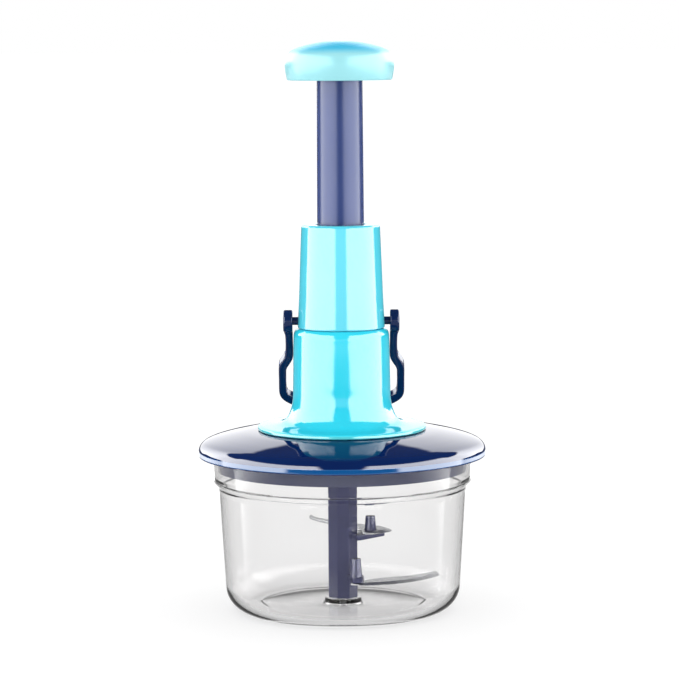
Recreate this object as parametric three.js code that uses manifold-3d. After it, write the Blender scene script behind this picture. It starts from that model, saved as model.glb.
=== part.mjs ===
// Plunger food chopper: a clear bowl with a blade column, a saucer lid that carries a two-stage
// tapered housing, and a sprung plunger whose twisted rod spins the blades when the cap is pressed.
// Millimetres, +Z up, +X to the right, +Y to the back. The origin is the centre of the bowl's
// underside, on the surface that the bowl stands on.
import * as THREE from "three";
import { mergeVertices } from "three/addons/utils/BufferGeometryUtils.js";
import Module from "manifold-3d";

// ---------------------------------------------------------------- driving dimensions
const SEG = 32; // facets round a large turned piece
const SEG_SMALL = 24; // facets round a small one
const STROKE = 82.5; // plunger travel, cap fully up to fully down
const ROD_LEAD = 33; // axial length of one full twist of the rod
const ROD_HAND = -1; // left-hand twist: pressing turns the blades clockwise seen from above
const ROD_WIDTH = 8.0;
const ROD_THICK = 2.6;
const ROD_CLEAR = 0.4; // running clearance in the nut's slot, each side
const ROD_LOW = 91.9; // rod's free end with the plunger up
const ROD_HEAD_LOW = 255.6;
const ROD_HEAD_TOP = 262.6;
const PIVOT_Z = 139.8; // height of the bail's pivot axis
const BAIL_LEAN = 35; // degrees that the bail leans back from hanging straight down
const BAIL_DEPTH = 5.6; // thickness of the bail's arms seen from the side
const EYE_R = 5.4; // bail eye
const BAIL_PIN_R = 1.95;
const BAIL_HOLE_R = 2.25;
const SHAFT_R = 7.2; // blade column
const SHAFT_BORE = 5.0;
const HEX_APOTHEM = 6.0; // drive hex on the output coupler
const HEX_SOCKET = 6.3; // socket in the blade column's head
const SPRING_R = 7.2; // mean radius of the return spring
const SPRING_WIRE = 0.65; // wire radius
const SPRING_COILS = 16;
const SPRING_LOW = 101.1;
const SPRING_TOP = 255.4;

// ---------------------------------------------------------------- solids
const wasm = await Module();
wasm.setup();

// Closed geometry to a solid, whichever way round its faces are.
function solid(geometry) {
  const bare = new THREE.BufferGeometry().setAttribute(
    "position",
    (geometry.index ? geometry.toNonIndexed() : geometry).getAttribute("position"),
  );
  const merged = mergeVertices(bare, 1e-4);
  const index = merged.index.array;
  const tri = [];
  for (let i = 0; i < index.length; i += 3) {
    const [a, b, c] = [index[i], index[i + 1], index[i + 2]];
    if (a !== b && b !== c && c !== a) tri.push(a, b, c);
  }
  const make = (t) =>
    new wasm.Manifold(
      new wasm.Mesh({
        numProp: 3,
        vertProperties: merged.attributes.position.array,
        triVerts: new Uint32Array(t),
      }),
    );
  const made = make(tri);
  if (made.volume() > 0) return made;
  const turned = [];
  for (let i = 0; i < tri.length; i += 3) turned.push(tri[i], tri[i + 2], tri[i + 1]);
  return make(turned);
}

function geometryOf(s) {
  const m = s.getMesh();
  const v = new Float32Array(m.numVert * 3);
  for (let i = 0; i < m.numVert; i++)
    v.set(m.vertProperties.subarray(i * m.numProp, i * m.numProp + 3), i * 3);
  const g = new THREE.BufferGeometry();
  g.setAttribute("position", new THREE.BufferAttribute(v, 3));
  g.setIndex(new THREE.BufferAttribute(new Uint32Array(m.triVerts), 1));
  g.computeVertexNormals();
  return g;
}

// A turned solid about Z from [radius, height] pairs. A profile either closes on itself or
// starts and ends on the axis.
function turned(profile, segments = SEG) {
  const points = profile.map(([r, z]) => new THREE.Vector2(r, z));
  const onAxis = profile[0][0] === 0 && profile[profile.length - 1][0] === 0;
  if (!onAxis) points.push(points[0].clone());
  const g = new THREE.LatheGeometry(points, segments);
  g.rotateX(Math.PI / 2);
  return solid(g);
}

// A straight cylinder along Z, or along X when turned.
function rod(r, low, high, segments = SEG_SMALL, x = 0, y = 0) {
  const g = new THREE.CylinderGeometry(r, r, high - low, segments);
  g.rotateX(Math.PI / 2);
  g.translate(x, y, (low + high) / 2);
  return solid(g);
}

function crossRod(r, low, high, z, segments = SEG_SMALL) {
  const g = new THREE.CylinderGeometry(r, r, high - low, segments);
  g.rotateZ(Math.PI / 2);
  g.translate((low + high) / 2, 0, z);
  return solid(g);
}

// A flat plate from an outline in the XY plane.
function plate(outline, low, high) {
  const shape = new THREE.Shape(outline.map(([x, y]) => new THREE.Vector2(x, y)));
  const g = new THREE.ExtrudeGeometry(shape, { depth: high - low, bevelEnabled: false });
  g.translate(0, 0, low);
  return solid(g);
}

function hexagon(apothem, low, high) {
  const r = apothem / Math.cos(Math.PI / 6);
  return plate(
    Array.from({ length: 6 }, (_, i) => {
      const a = (i * Math.PI) / 3;
      return [r * Math.cos(a), r * Math.sin(a)];
    }),
    low,
    high,
  );
}

// Ring sectors for the dog clutch's face teeth.
function sector(inner, outer, from, to, low, high) {
  const steps = 3;
  const points = [];
  for (let i = 0; i <= steps; i++) {
    const a = from + ((to - from) * i) / steps;
    points.push([outer * Math.cos(a), outer * Math.sin(a)]);
  }
  for (let i = steps; i >= 0; i--) {
    const a = from + ((to - from) * i) / steps;
    points.push([inner * Math.cos(a), inner * Math.sin(a)]);
  }
  return plate(points, low, high);
}

// A flat bar twisted about Z. The twist depends only on height, so the bar and the slot that it
// runs in share one phase.
function twisted(width, thick, low, high) {
  const perTurn = 60;
  const steps = Math.max(2, Math.ceil(((high - low) / ROD_LEAD) * perTurn));
  const corners = [
    [width / 2, -thick / 2],
    [width / 2, thick / 2],
    [-width / 2, thick / 2],
    [-width / 2, -thick / 2],
  ];
  const ring = (i) => {
    const z = low + ((high - low) * i) / steps;
    const a = (ROD_HAND * 2 * Math.PI * z) / ROD_LEAD;
    return corners.map(([x, y]) => [
      x * Math.cos(a) - y * Math.sin(a),
      x * Math.sin(a) + y * Math.cos(a),
      z,
    ]);
  };
  const out = [];
  const face = (...p) => p.forEach((v) => out.push(...v));
  for (let i = 0; i < steps; i++) {
    const [a, b] = [ring(i), ring(i + 1)];
    for (let k = 0; k < 4; k++) {
      const n = (k + 1) % 4;
      face(a[k], a[n], b[n]);
      face(a[k], b[n], b[k]);
    }
  }
  const [first, last] = [ring(0), ring(steps)];
  face(first[0], first[2], first[1]);
  face(first[0], first[3], first[2]);
  face(last[0], last[1], last[2]);
  face(last[0], last[2], last[3]);
  return solid(
    new THREE.BufferGeometry().setAttribute(
      "position",
      new THREE.BufferAttribute(new Float32Array(out), 3),
    ),
  );
}

// A helical compression spring about Z as one closed tube with flat ends.
function spring(mean, wire, coils, low, high) {
  const perCoil = 8;
  const sides = 4;
  const steps = coils * perCoil;
  const bottom = low + wire;
  const top = high - wire;
  const ring = (i) => {
    const a = (i / perCoil) * 2 * Math.PI;
    const z = bottom + ((top - bottom) * i) / steps;
    return Array.from({ length: sides }, (_, k) => {
      const b = (k / sides) * 2 * Math.PI;
      const r = mean + wire * Math.cos(b);
      return [r * Math.cos(a), r * Math.sin(a), z + wire * Math.sin(b)];
    });
  };
  const out = [];
  const face = (...p) => p.forEach((v) => out.push(...v));
  for (let i = 0; i < steps; i++) {
    const [a, b] = [ring(i), ring(i + 1)];
    for (let k = 0; k < sides; k++) {
      const n = (k + 1) % sides;
      face(a[k], b[n], a[n]);
      face(a[k], b[k], b[n]);
    }
  }
  const [first, last] = [ring(0), ring(steps)];
  for (let k = 1; k < sides - 1; k++) {
    face(first[0], first[k], first[k + 1]);
    face(last[0], last[k + 1], last[k]);
  }
  return solid(
    new THREE.BufferGeometry().setAttribute(
      "position",
      new THREE.BufferAttribute(new Float32Array(out), 3),
    ),
  );
}

const arc = (cr, cz, radius, from, to, steps) =>
  Array.from({ length: steps + 1 }, (_, i) => {
    const a = ((from + ((to - from) * i) / steps) * Math.PI) / 180;
    return [cr + radius * Math.cos(a), cz + radius * Math.sin(a)];
  });

// ---------------------------------------------------------------- bowl
// Clear tapered bowl: foot ring, large corner radius, rim band that steps out to take the lid's
// plug, and a low central boss that holds the steel spindle pin.
const bowl = turned([
  [0, 0.9],
  [39.4, 0.9],
  [40.4, 0],
  ...arc(44.6, 12, 12, -90, 0, 5),
  [59.3, 57.6],
  [60.0, 60.2],
  [60.9, 62.4],
  [61.9, 63.4],
  [62.4, 64.8],
  [62.75, 75.0],
  [62.25, 75.6],
  [60.7, 75.6],
  [60.3, 75.0],
  [60.2, 65.4],
  [59.6, 64.4],
  [57.2, 62.2],
  ...arc(44.6, 12.8, 9.8, 0, -90, 4),
  [9.6, 3.0],
  [9.0, 3.6],
  [8.8, 5.8],
  [1.65, 5.8],
  [1.65, 2.0],
  [0, 2.0],
]);

const spindlePin = turned(
  [
    [0, 2.05],
    [1.5, 2.05],
    [1.5, 8.2],
    [1.0, 8.75],
    [0, 8.8],
  ],
  16,
);

// ---------------------------------------------------------------- lid
const HOUSING_SCREWS = [45, 135, 225, 315].map((d) => (d * Math.PI) / 180);
const HOUSING_SCREW_RING = 30;
const COVER_SCREWS = [90, 210, 330].map((d) => (d * Math.PI) / 180);
const COVER_SCREW_RING = 12.6;

let outerLid = turned([
  [8.4, 84.2],
  [41, 84.2],
  [50, 83.4],
  [58, 81.9],
  [63.4, 80.0],
  [65.9, 78.3],
  [66.7, 76.4],
  [67.5, 75.4],
  [68.5, 75.3],
  [69.0, 75.9],
  [69.1, 77.2],
  [69.0, 78.5],
  [68.6, 79.6],
  [67.9, 80.6],
  [66.5, 81.8],
  [64.5, 82.75],
  [62, 83.6],
  [59.5, 84.3],
  [56, 85.15],
  [50, 86.35],
  [46, 87.0],
  [41.2, 87.5],
  [38.5, 87.6],
  [16.3, 87.6],
  [16.3, 86.0],
  [8.4, 86.0],
]);
for (const a of HOUSING_SCREWS)
  outerLid = outerLid.subtract(
    rod(1.9, 83, 88.5, 12, HOUSING_SCREW_RING * Math.cos(a), HOUSING_SCREW_RING * Math.sin(a)),
  );
for (const a of COVER_SCREWS)
  outerLid = outerLid.subtract(
    rod(1.4, 83, 87, 12, COVER_SCREW_RING * Math.cos(a), COVER_SCREW_RING * Math.sin(a)),
  );

// Lower lid disc with the plug that drops inside the bowl's rim and a sleeve round the drive.
const innerLid = turned([
  [9.9, 70.0],
  [12.0, 70.0],
  [12.3, 77.05],
  [57.4, 77.05],
  [57.6, 68.6],
  [59.6, 68.6],
  [59.9, 75.4],
  [59.9, 77.05],
  [63.4, 77.05],
  [63.4, 78.3],
  [60.0, 79.0],
  [9.9, 79.0],
]);

const lidSeal = turned([
  [60.3, 75.7],
  [62.3, 75.7],
  [62.5, 76.4],
  [62.3, 77.0],
  [60.3, 77.0],
  [60.1, 76.4],
]);

// ---------------------------------------------------------------- housing
// Lower stage: flange, tight concave foot, nearly straight wall and a rounded shoulder.
let lowerHousing = turned([
  [21.3, 87.7],
  [40.1, 87.7],
  [40.45, 88.1],
  [40.4, 89.2],
  [39.9, 89.6],
  [35, 90.1],
  [31, 90.6],
  [28.3, 91.5],
  [26.4, 93.2],
  [25.1, 95.8],
  [24.1, 99],
  [23.55, 103],
  [23.35, 111],
  [22.95, 130.5],
  [22.8, 133.6],
  [22.25, 135.2],
  [21.3, 136.2],
  [20.3, 136.5],
  [19.85, 136.5],
  [19.85, 124],
  [21.2, 122.6],
]);
for (const a of HOUSING_SCREWS)
  lowerHousing = lowerHousing.subtract(
    rod(1.45, 86, 89.95, 12, HOUSING_SCREW_RING * Math.cos(a), HOUSING_SCREW_RING * Math.sin(a)),
  );

// Upper stage: spigot inside the lower stage, tapered wall, and a flat top round the plunger.
const upperHousing = turned([
  [17.4, 126.5],
  [19.5, 126.5],
  [19.6, 136.8],
  [20.95, 136.8],
  [20.9, 138.5],
  [20.3, 149],
  [18.85, 184.6],
  [18.5, 185.7],
  [17.7, 186.2],
  [12.4, 186.2],
  [12.4, 183.7],
  [16.8, 183.7],
  [18.2, 149],
  [18.4, 138.6],
  [17.4, 136.6],
]).subtract(crossRod(BAIL_HOLE_R, -24, 24, PIVOT_Z, 16));

const guideBush = turned(
  [
    [11.5, 177],
    [16.3, 177],
    [16.3, 183.4],
    [11.5, 183.4],
  ],
  32,
);

// ---------------------------------------------------------------- drive
// Fixed cover round the nut: a slim tower that the hollow plunger passes over.
let driveCover = turned(
  [
    [8.15, 86.1],
    [15.9, 86.1],
    [15.9, 87.5],
    [9.25, 87.5],
    [9.25, 99.9],
    [8.95, 100.2],
    [4.7, 100.2],
    [4.7, 99.2],
    [8.15, 99.2],
  ],
  32,
);
for (const a of COVER_SCREWS)
  driveCover = driveCover.subtract(
    rod(1.4, 85, 88.5, 12, COVER_SCREW_RING * Math.cos(a), COVER_SCREW_RING * Math.sin(a)),
  );

const springSeat = turned(
  [
    [4.75, 100.25],
    [8.9, 100.25],
    [8.9, 101.0],
    [4.75, 101.0],
  ],
  SEG_SMALL,
);

const returnSpring = spring(SPRING_R, SPRING_WIRE, SPRING_COILS, SPRING_LOW, SPRING_TOP);

// Nut with a twisted slot, and face teeth that engage the output coupler.
const TOOTH = (24 * Math.PI) / 180;
let driveNut = rod(7.8, 91.0, 98.8, 32);
for (let i = 0; i < 6; i++) {
  const a = (i * Math.PI) / 3;
  driveNut = driveNut.add(sector(5.2, 7.6, a, a + TOOTH, 89.3, 91.2));
}
driveNut = driveNut.subtract(
  twisted(ROD_WIDTH + 2 * ROD_CLEAR, ROD_THICK + 2 * ROD_CLEAR, 86, 103),
);

let outputCoupler = hexagon(HEX_APOTHEM, 68.6, 80)
  .add(rod(9.4, 79.6, 83.8, 32))
  .add(rod(7.8, 83.5, 89.0, 32));
for (let i = 0; i < 6; i++) {
  const a = (i * Math.PI) / 3 + Math.PI / 6;
  outputCoupler = outputCoupler.add(sector(5.2, 7.6, a, a + TOOTH, 88.8, 90.7));
}
outputCoupler = outputCoupler.subtract(rod(4.85, 60, 95, SEG_SMALL));

// ---------------------------------------------------------------- plunger
const pressCap = turned([
  [0, 273.1],
  [9.3, 272.65],
  [14.1, 271.75],
  [18.8, 270.5],
  [21.65, 269.5],
  [23.4, 268.5],
  [24.7, 267.1],
  [25.5, 265.3],
  [26.0, 262.7],
  [25.75, 259],
  [25.05, 255.2],
  [24.6, 254.7],
  [23.6, 254.7],
  [24.0, 262.4],
  [23.3, 265.5],
  [21.3, 267.7],
  [19.5, 268.95],
  [12.3, 268.95],
  [12.2, 266.4],
  [11.2, 266.4],
  [11.2, 268.95],
  [1.6, 268.95],
  [1.6, 272.0],
  [0, 272.0],
]);

const plungerTube = turned([
  [9.6, 171.9],
  [12.9, 171.9],
  [12.9, 176.2],
  [12.5, 176.6],
  [11.2, 176.7],
  [11.2, 186.2],
  [10.9, 254.7],
  [10.85, 268.4],
  [10.4, 268.85],
  [1.75, 268.85],
  [1.75, 266.4],
  [9.35, 266.4],
  [9.35, 255],
]).subtract(crossRod(1.35, -14, 14, (ROD_HEAD_LOW + ROD_HEAD_TOP) / 2, 12));

const spiralRod = twisted(ROD_WIDTH, ROD_THICK, ROD_LOW, ROD_HEAD_LOW + 1)
  .add(rod(9.05, ROD_HEAD_LOW, ROD_HEAD_TOP, SEG_SMALL))
  .subtract(crossRod(1.35, -14, 14, (ROD_HEAD_LOW + ROD_HEAD_TOP) / 2, 12));

const rodPin = crossRod(1.2, -10.6, 10.6, (ROD_HEAD_LOW + ROD_HEAD_TOP) / 2, 12);

const capScrew = turned(
  [
    [0, 264.2],
    [2.4, 264.2],
    [3.1, 264.8],
    [3.1, 266.3],
    [1.4, 266.35],
    [1.4, 271.4],
    [0.9, 271.9],
    [0, 271.9],
  ],
  16,
);

// ---------------------------------------------------------------- blade column
// Hollow column over the bowl's spindle pin, with a hex socket in its head and two holder arms,
// each with a tapered peg that carries a blade.
const LOWER_PEG = [6.3, -12.2];
const UPPER_PEG = [13.4, 0];
function peg([x, y], low, high, base, tip) {
  const g = new THREE.CylinderGeometry(tip, base, high - low, 16);
  g.rotateX(Math.PI / 2);
  g.translate(x, y, (low + high) / 2);
  return solid(g);
}
const LOWER_ARM = [
  [0.5, -5.0],
  [3.9, -9.0],
  [4.4, -15.2],
  [5.6, -16.5],
  [8.3, -16.5],
  [9.7, -14.9],
  [10.1, -10.5],
  [7.6, -3.5],
  [5.5, 1.0],
];
const UPPER_ARM = [
  [0.5, -5.2],
  [6.4, -5.6],
  [6.9, -9.2],
  [8.6, -8.4],
  [20.2, 3.4],
  [20.4, 5.4],
  [18.0, 6.6],
  [8.0, 6.5],
  [0, 7.0],
];
let bladeShaft = turned(
  [
    [SHAFT_R, 6.0],
    [SHAFT_R, 66.6],
    [9.2, 67.6],
    [9.2, 78.4],
    [8.8, 78.8],
    [1.8, 78.8],
    [1.8, 6.0],
  ],
  32,
)
  .add(plate(LOWER_ARM, 15.2, 17.6))
  .add(plate(UPPER_ARM, 34.4, 36.8))
  .add(peg(LOWER_PEG, 17.0, 26.3, 3.0, 2.2))
  .add(peg(UPPER_PEG, 36.0, 44.8, 3.0, 2.3))
  .subtract(rod(SHAFT_BORE, 8.9, 82, SEG_SMALL))
  .subtract(hexagon(HEX_SOCKET, 67.8, 82));

// The lower blade lies under its arm, pinned up into the peg's foot, and the upper one on top of
// its arm, with the peg through it.
const LOWER_BLADE = [
  [3.6, -15.0],
  [9.0, -16.0],
  [16.0, -15.2],
  [22.9, -13.2],
  [28.2, -10.8],
  [33.0, -7.6],
  [37.4, -4.0],
  [41.4, 0.2],
  [44.8, 4.4],
  [47.4, 8.6],
  [47.4, 11.8],
  [45.4, 14.4],
  [41.4, 10.4],
  [37.0, 6.8],
  [30.4, 3.0],
  [23.0, 0.2],
  [17.0, -2.6],
  [12.4, -6.0],
  [8.6, -8.6],
  [4.4, -9.8],
];
const UPPER_BLADE = [
  [9.6, -6.6],
  [14.0, -7.0],
  [20.0, -3.6],
  [23.6, 1.0],
  [23.0, 6.4],
  [18.8, 11.4],
  [12.6, 15.0],
  [7.0, 18.2],
  [0.6, 23.6],
  [-7.0, 31.0],
  [-12.4, 37.4],
  [-15.6, 43.6],
  [-16.6, 38.0],
  [-14.4, 32.0],
  [-9.6, 25.0],
  [-4.4, 18.6],
  [0.6, 14.0],
  [5.6, 10.2],
  [8.6, 6.2],
  [9.2, 1.0],
];
const lowerBlade = plate(LOWER_BLADE, 13.9, 14.9);
const upperBlade = plate(UPPER_BLADE, 37.05, 38.05).subtract(
  rod(3.4, 36, 40, 16, UPPER_PEG[0], UPPER_PEG[1]),
);

// ---------------------------------------------------------------- bail
// U-shaped storage bail in its own plane: x across, s down from the pivot.
const BAIL_OUTER = [
  [27.8, -1.0],
  [27.8, 4.6],
  [27.1, 6.4],
  [27.1, 19.7],
  [27.9, 22.0],
  [29.4, 24.8],
  [30.3, 27.2],
  [30.55, 29.2],
  [30.6, 44.0],
  [30.3, 46.0],
  [29.4, 48.2],
  [27.5, 50.3],
  [24.4, 52.4],
  [20.0, 54.2],
  [14.0, 55.7],
  [7.0, 56.7],
];
const BAIL_INNER = [
  [23.35, -1.0],
  [23.35, 21.6],
  [24.6, 24.8],
  [26.2, 27.8],
  [26.85, 30.0],
  [26.85, 43.4],
  [26.4, 45.0],
  [25.6, 46.1],
  [23.9, 47.3],
  [20.0, 49.3],
  [14.0, 51.2],
  [7.0, 52.35],
];
const mirrored = (points) => points.map(([x, s]) => [-x, s]).reverse();
function bailSolid() {
  const outline = [...BAIL_OUTER, [0, 57.0], ...mirrored(BAIL_OUTER), ...BAIL_INNER_LOOP()];
  const shape = new THREE.Shape(outline.map(([x, s]) => new THREE.Vector2(x, -s)));
  const g = new THREE.ExtrudeGeometry(shape, { depth: BAIL_DEPTH, bevelEnabled: false });
  // The outline's plane XY becomes XZ, and the thickness runs along Y.
  g.rotateX(Math.PI / 2);
  g.translate(0, BAIL_DEPTH / 2, 0);
  let s = solid(g);
  for (const side of [-1, 1]) {
    const eye = new THREE.CylinderGeometry(EYE_R, EYE_R, 4.5, SEG_SMALL);
    eye.rotateZ(Math.PI / 2);
    eye.translate(side * (23.35 + 2.25), 0, 0);
    const stub = new THREE.CylinderGeometry(BAIL_PIN_R, BAIL_PIN_R, 5.4, 16);
    stub.rotateZ(Math.PI / 2);
    stub.translate(side * (18.6 + 2.7), 0, 0);
    s = s.add(solid(eye)).add(solid(stub));
  }
  return s;
}
function BAIL_INNER_LOOP() {
  // left side top to the middle, then the right side back up
  return [...mirrored([...BAIL_INNER].reverse()), [0, 52.7], ...[...BAIL_INNER].reverse()];
}
const bail = bailSolid();

// ---------------------------------------------------------------- screws
function housingScrew(a) {
  const s = turned(
    [
      [0, 81.9],
      [2.3, 81.9],
      [2.9, 82.5],
      [2.9, 83.9],
      [1.25, 83.95],
      [1.25, 89.4],
      [0, 89.8],
    ],
    12,
  );
  const g = geometryOf(s);
  g.translate(HOUSING_SCREW_RING * Math.cos(a), HOUSING_SCREW_RING * Math.sin(a), 0);
  return g;
}
function coverScrew(a) {
  const s = turned(
    [
      [0, 84.6],
      [1.1, 84.9],
      [1.1, 87.55],
      [1.9, 87.6],
      [1.9, 88.2],
      [1.4, 88.6],
      [0, 88.6],
    ],
    12,
  );
  const g = geometryOf(s);
  g.translate(COVER_SCREW_RING * Math.cos(a), COVER_SCREW_RING * Math.sin(a), 0);
  return g;
}

// ---------------------------------------------------------------- scene graph
const paint = (color, roughness, metalness = 0, extra = {}) => () =>
  new THREE.MeshStandardMaterial({ color, roughness, metalness, ...extra });
const cyan = paint(0x5fe4fa, 0.22);
const navy = paint(0x1d2f66, 0.25);
const navyTube = paint(0x3a4478, 0.3);
const clear = paint(0xf2f6f8, 0.05, 0, { transparent: true, opacity: 0.25 });
const steel = paint(0xc9ced6, 0.25, 1);
const white = paint(0xe8e9ea, 0.45);
const rubber = paint(0xdfe6ec, 0.7);

const root = new THREE.Group();
root.name = "plunger_food_chopper";
const lidGroup = new THREE.Group();
const plungerGroup = new THREE.Group();
const bladeGroup = new THREE.Group();
const bailGroup = new THREE.Group();
bailGroup.position.set(0, 0, PIVOT_Z);
bailGroup.rotation.x = (BAIL_LEAN * Math.PI) / 180;
root.add(lidGroup, bladeGroup);
lidGroup.add(plungerGroup, bailGroup);

function add(group, name, made, material) {
  const g = made.isBufferGeometry ? made : geometryOf(made);
  const mesh = new THREE.Mesh(g, material());
  mesh.name = name;
  group.add(mesh);
  return mesh;
}

add(root, "bowl", bowl, clear);
add(root, "spindle_pin", spindlePin, steel);

add(lidGroup, "outer_lid", outerLid, navy);
add(lidGroup, "inner_lid", innerLid, navy);
add(lidGroup, "lid_seal", lidSeal, rubber);
add(lidGroup, "lower_housing", lowerHousing, cyan);
add(lidGroup, "upper_housing", upperHousing, cyan);
add(lidGroup, "guide_bush", guideBush, white);
add(lidGroup, "drive_cover", driveCover, white);
add(lidGroup, "spring_seat", springSeat, steel);
add(lidGroup, "return_spring", returnSpring, steel);
HOUSING_SCREWS.forEach((a, i) => add(lidGroup, "housing_screw_" + (i + 1), housingScrew(a), steel));
COVER_SCREWS.forEach((a, i) => add(lidGroup, "cover_screw_" + (i + 1), coverScrew(a), steel));
add(lidGroup, "drive_nut", driveNut, white);
add(lidGroup, "output_coupler", outputCoupler, white);

add(plungerGroup, "press_cap", pressCap, cyan);
add(plungerGroup, "plunger_tube", plungerTube, navyTube);
add(plungerGroup, "cap_screw", capScrew, steel);
add(plungerGroup, "spiral_rod", spiralRod, steel);
add(plungerGroup, "rod_pin", rodPin, steel);

add(bladeGroup, "blade_shaft", bladeShaft, navyTube);
add(bladeGroup, "upper_blade", upperBlade, steel);
add(bladeGroup, "lower_blade", lowerBlade, steel);

add(bailGroup, "bail", bail, navy);

export default root;
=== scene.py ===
import math

import bmesh
import bpy
from mathutils import Matrix, Vector


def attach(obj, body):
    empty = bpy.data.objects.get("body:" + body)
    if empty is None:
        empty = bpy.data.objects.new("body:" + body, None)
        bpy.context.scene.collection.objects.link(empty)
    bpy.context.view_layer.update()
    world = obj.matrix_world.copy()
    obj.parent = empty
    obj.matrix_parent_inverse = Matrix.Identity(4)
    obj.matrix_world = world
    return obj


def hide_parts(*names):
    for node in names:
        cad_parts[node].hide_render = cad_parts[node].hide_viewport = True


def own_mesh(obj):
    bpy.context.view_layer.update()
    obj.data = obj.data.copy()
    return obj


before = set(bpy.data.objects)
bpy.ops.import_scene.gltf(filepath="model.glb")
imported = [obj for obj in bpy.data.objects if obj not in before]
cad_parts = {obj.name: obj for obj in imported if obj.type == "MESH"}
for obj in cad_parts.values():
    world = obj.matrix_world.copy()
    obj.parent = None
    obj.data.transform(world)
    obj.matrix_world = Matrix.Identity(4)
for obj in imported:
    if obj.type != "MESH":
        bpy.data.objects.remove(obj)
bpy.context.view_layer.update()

SCENE = bpy.context.scene
MM = 0.001

# ================================================================ camera
# Solved from the ellipses of the bowl's rim, the lid and the flange. The picture is 679 x 679.
CAM_PLACE = Vector((-0.0009, -1.350, 0.275))
CAM_TILT = 6.1
CAM_ROLL = -0.4
camera_data = bpy.data.cameras.new("camera")
camera_data.sensor_width = 36.0
camera_data.lens = 36.0 * 2830.0 / 679.0
camera_data.clip_start, camera_data.clip_end = 0.05, 60.0
camera = bpy.data.objects.new("camera", camera_data)
SCENE.collection.objects.link(camera)
camera.matrix_world = (
    Matrix.Translation(CAM_PLACE)
    @ Matrix.Rotation(math.radians(90.0 - CAM_TILT), 4, "X")
    @ Matrix.Rotation(math.radians(CAM_ROLL), 4, "Z")
)
SCENE.camera = camera
SCENE.view_settings.view_transform = "Standard"
SCENE.view_settings.look = "None"


# ================================================================ small geometry kit (millimetres)
def spline(points, per=6):
    """A smooth line through the points, ends included."""
    p = [Vector(q[:2]) for q in points]
    p = [2 * p[0] - p[1]] + p + [2 * p[-1] - p[-2]]
    out = []
    for i in range(1, len(p) - 2):
        p0, p1, p2, p3 = p[i - 1], p[i], p[i + 1], p[i + 2]
        t0 = 0.0
        t1 = t0 + max((p1 - p0).length, 1e-6) ** 0.5
        t2 = t1 + max((p2 - p1).length, 1e-6) ** 0.5
        t3 = t2 + max((p3 - p2).length, 1e-6) ** 0.5
        for k in range(per):
            t = t1 + (t2 - t1) * k / per
            a1 = p0 * ((t1 - t) / (t1 - t0)) + p1 * ((t - t0) / (t1 - t0))
            a2 = p1 * ((t2 - t) / (t2 - t1)) + p2 * ((t - t1) / (t2 - t1))
            a3 = p2 * ((t3 - t) / (t3 - t2)) + p3 * ((t - t2) / (t3 - t2))
            b1 = a1 * ((t2 - t) / (t2 - t0)) + a2 * ((t - t0) / (t2 - t0))
            b2 = a2 * ((t3 - t) / (t3 - t1)) + a3 * ((t - t1) / (t3 - t1))
            c = b1 * ((t2 - t) / (t2 - t1)) + b2 * ((t - t1) / (t2 - t1))
            out.append((c.x, c.y))
    out.append((p[-2].x, p[-2].y))
    return out


def arc(cx, cy, radius, start, end, steps):
    return [
        (
            cx + radius * math.cos(math.radians(start + (end - start) * i / steps)),
            cy + radius * math.sin(math.radians(start + (end - start) * i / steps)),
        )
        for i in range(steps + 1)
    ]


def rounded(points, steps=5, closed=False):
    """Corners given as (x, y, radius) become arcs; plain (x, y) points stay."""
    n = len(points)
    out = []
    for i, q in enumerate(points):
        radius = q[2] if len(q) > 2 else 0.0
        if radius <= 0 or (not closed and i in (0, n - 1)):
            out.append((q[0], q[1]))
            continue
        a, b, c = Vector(points[i - 1][:2]), Vector(q[:2]), Vector(points[(i + 1) % n][:2])
        u, v = (a - b), (c - b)
        lu, lv = u.length, v.length
        if lu < 1e-9 or lv < 1e-9:
            out.append((q[0], q[1]))
            continue
        u, v = u / lu, v / lv
        half = math.acos(max(-1.0, min(1.0, u.dot(v)))) / 2
        if half > math.radians(88):
            out.append((q[0], q[1]))
            continue
        t = min(radius / math.tan(half), 0.48 * lu, 0.48 * lv)
        r = t * math.tan(half)
        centre = b + (u + v).normalized() * (r / math.sin(half))
        s, e = b + u * t - centre, b + v * t - centre
        a0 = math.atan2(s.y, s.x)
        turn = math.atan2(s.x * e.y - s.y * e.x, s.dot(e))
        for k in range(steps + 1):
            w = a0 + turn * k / steps
            out.append((centre.x + r * math.cos(w), centre.y + r * math.sin(w)))
    return out


def tidy(line, least=1e-4):
    out = []
    for q in line:
        if not out or (Vector(q) - Vector(out[-1])).length > least:
            out.append(q)
    return out


def make(name, verts, faces):
    """An object from points in mm, faces turned outwards."""
    mesh = bpy.data.meshes.new(name)
    mesh.from_pydata([Vector(v) * MM for v in verts], [], faces)
    bm = bmesh.new()
    bm.from_mesh(mesh)
    bmesh.ops.remove_doubles(bm, verts=bm.verts, dist=1e-7)
    bmesh.ops.recalc_face_normals(bm, faces=bm.faces)
    bm.to_mesh(mesh)
    bm.free()
    obj = bpy.data.objects.new(name, mesh)
    SCENE.collection.objects.link(obj)
    return obj


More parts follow.
